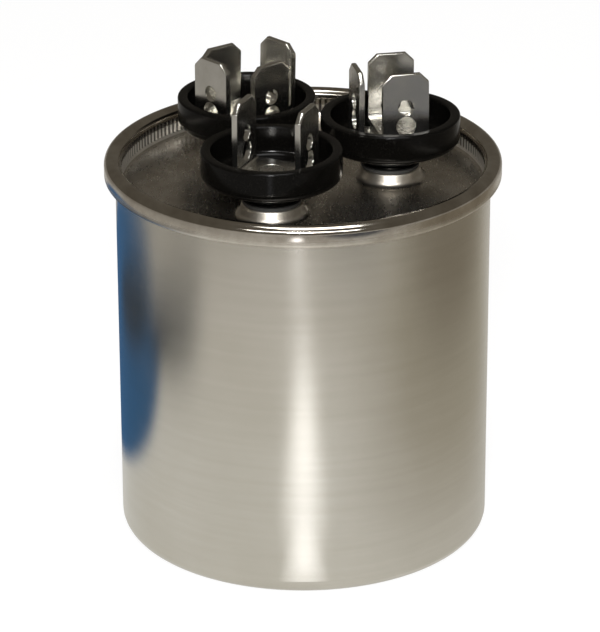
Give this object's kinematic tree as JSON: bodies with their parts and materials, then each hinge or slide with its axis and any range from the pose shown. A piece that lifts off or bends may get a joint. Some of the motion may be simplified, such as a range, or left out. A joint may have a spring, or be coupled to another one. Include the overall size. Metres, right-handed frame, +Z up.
{
  "type": "motor run capacitor",
  "caption": "Round dual motor run capacitor: an aluminium can closed by a rolled seam, with insulated quick-connect terminals on top for a compressor, a fan and their common line.",
  "frame": {"origin": "centre of the can's base, on the surface that it stands on", "axes": "+Z up through the terminals; -Y towards the fan terminal's side, +X towards the compressor terminal"},
  "size_m": [0.0538, 0.0538, 0.0659],
  "materials": {
    "can_aluminium": "satin drawn aluminium",
    "cover_metal": "pressed plated sheet with a bright rolled seam",
    "black_plastic": "moulded thermoset, glossy black",
    "gasket_rubber": "matte black",
    "tinned_blade": "tin-plated, slightly dull",
    "rivet_metal": "plated rivet",
    "bush_plastic": "moulded, matte",
    "film_winding": "metallised film winding in its fill"
  },
  "bodies": {
    "root": {"can": "can_aluminium", "cover": "cover_metal", "sealed_element": "film_winding", "common_cup": "black_plastic", "common_gasket": "gasket_rubber", "common_bush": "bush_plastic", "common_washer": "rivet_metal", "common_rivet": "rivet_metal", "common_blades_lower": "tinned_blade", "common_blades_upper": "tinned_blade", "compressor_cup": "black_plastic", "compressor_gasket": "gasket_rubber", "compressor_bush": "bush_plastic", "compressor_washer": "rivet_metal", "compressor_rivet": "rivet_metal", "compressor_blade_single": "tinned_blade", "compressor_blades_pair": "tinned_blade", "fan_cup": "black_plastic", "fan_gasket": "gasket_rubber", "fan_bush": "bush_plastic", "fan_washer": "rivet_metal", "fan_rivet": "rivet_metal", "fan_blades": "tinned_blade"}
  },
  "joints": []
}
